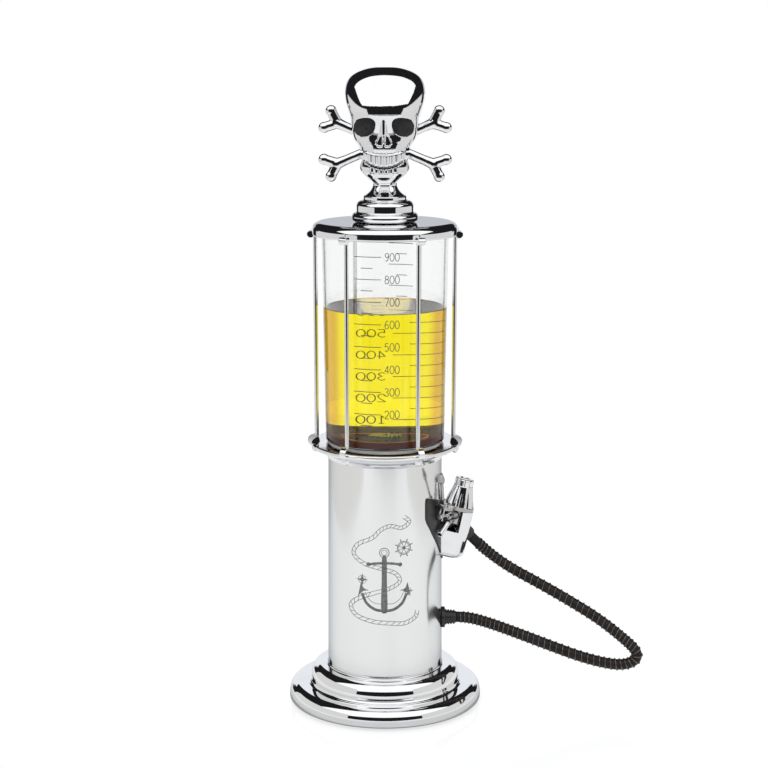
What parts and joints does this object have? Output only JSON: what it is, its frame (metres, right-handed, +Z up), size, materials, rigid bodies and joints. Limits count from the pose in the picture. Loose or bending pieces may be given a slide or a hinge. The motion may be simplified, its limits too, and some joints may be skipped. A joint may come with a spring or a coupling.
{
  "type": "party shot dispenser",
  "caption": "Tabletop drink dispenser: round foot, column, graduated tank in a rod cage, cap with a skull stopper, and a hose to a lever tap in a side holster.",
  "frame": {"origin": "centre of the foot, on the surface it stands on", "axes": "+Z up along the column, -Y to the front, +X to the side that carries the holster and the tap"},
  "size_m": [0.2595, 0.1404, 0.4665],
  "materials": {
    "base_feet": "matt rubber",
    "base_plate": "moulded, matt",
    "base_screws": "plain",
    "base_shell": "mirror chrome plating",
    "cage_rod_1": "polished rod",
    "cage_rod_2": "polished rod",
    "cage_rod_3": "polished rod",
    "cage_rod_4": "polished rod",
    "cage_rod_5": "polished rod",
    "cage_rod_6": "polished rod",
    "cap": "mirror chrome plating",
    "cap_gasket": "translucent silicone",
    "collar_nuts": "mirror chrome plating",
    "column_tube": "mirror chrome with a line engraving",
    "crossbones": "mirror chrome plating",
    "eye_inlays": "matt black",
    "fitting_nut": "plain brass",
    "gland_nut": "mirror chrome plating",
    "grip_cap": "mirror chrome plating",
    "holster": "mirror chrome plating",
    "holster_screws": "plain",
    "hose": "black tube wrapped in a wire coil",
    "hose_clamps": "plain",
    "hose_ferrule": "black, satin",
    "hose_relief": "black, satin",
    "inner_tube": "translucent silicone",
    "lever": "mirror chrome plating",
    "lever_knob": "mirror chrome plating",
    "lever_pin": "mirror chrome plating",
    "outlet_nut": "moulded",
    "skull": "mirror chrome plating",
    "spout": "mirror chrome plating",
    "stopper_pedestal": "mirror chrome plating",
    "stopper_seal": "black rubber",
    "tank": "clear, graduated",
    "tank_collar": "mirror chrome plating",
    "tank_gasket": "translucent silicone",
    "tank_outlet": "moulded",
    "tap_body": "mirror chrome plating",
    "tap_grip": "mirror chrome plating, fluted",
    "valve_plunger": "turned",
    "valve_seal": "black rubber",
    "valve_spring": "spring wire",
    "wall_fitting": "plated brass"
  },
  "bodies": {
    "frame": {"base_feet": "base_feet", "base_plate": "base_plate", "base_screws": "base_screws", "base_shell": "base_shell", "cage_rod_1": "cage_rod_1", "cage_rod_2": "cage_rod_2", "cage_rod_3": "cage_rod_3", "cage_rod_4": "cage_rod_4", "cage_rod_5": "cage_rod_5", "cage_rod_6": "cage_rod_6", "cap": "cap", "cap_gasket": "cap_gasket", "collar_nuts": "collar_nuts", "column_tube": "column_tube", "fitting_nut": "fitting_nut", "holster": "holster", "holster_screws": "holster_screws", "hose": "hose", "hose_clamps": "hose_clamps", "hose_relief": "hose_relief", "inner_tube": "inner_tube", "outlet_nut": "outlet_nut", "tank": "tank", "tank_collar": "tank_collar", "tank_gasket": "tank_gasket", "tank_outlet": "tank_outlet", "wall_fitting": "wall_fitting"},
    "stopper": {"stopper_pedestal": "stopper_pedestal", "stopper_seal": "stopper_seal", "skull": "skull", "eye_inlays": "eye_inlays", "crossbones": "crossbones"},
    "tap": {"tap_body": "tap_body", "tap_grip": "tap_grip", "grip_cap": "grip_cap", "spout": "spout", "gland_nut": "gland_nut", "lever_pin": "lever_pin", "hose_ferrule": "hose_ferrule", "valve_spring": "valve_spring"},
    "lever": {"lever": "lever", "lever_knob": "lever_knob"},
    "plunger": {"valve_plunger": "valve_plunger", "valve_seal": "valve_seal"}
  },
  "joints": [
    {"name": "stopper_lift", "type": "slide", "parent": "frame", "child": "stopper", "axis": [0, 0, 1], "range_m": [0, 0.025]},
    {"name": "tap_draw", "type": "slide", "parent": "frame", "child": "tap", "axis": [0.225, 0, 0.9744], "range_m": [0, 0.01]},
    {"name": "lever_squeeze", "type": "hinge", "parent": "tap", "child": "lever", "pos_m": [0.04245, -0.0212, 0.14654], "axis": [-0.8263, 0.5299, 0.1908], "range_deg": [0, 16], "stiffness_Nm_per_rad": 0.15, "springref_deg": -8.59},
    {"name": "plunger_slide", "type": "slide", "parent": "tap", "child": "plunger", "axis": [-0.5163, -0.8481, 0.1192], "range_m": [0, 0.003], "deforming": ["valve_spring"]}
  ],
  "couplings": [
    {"joint": "plunger_slide", "follows": "lever_squeeze", "m_per_rad": 0.0096}
  ]
}
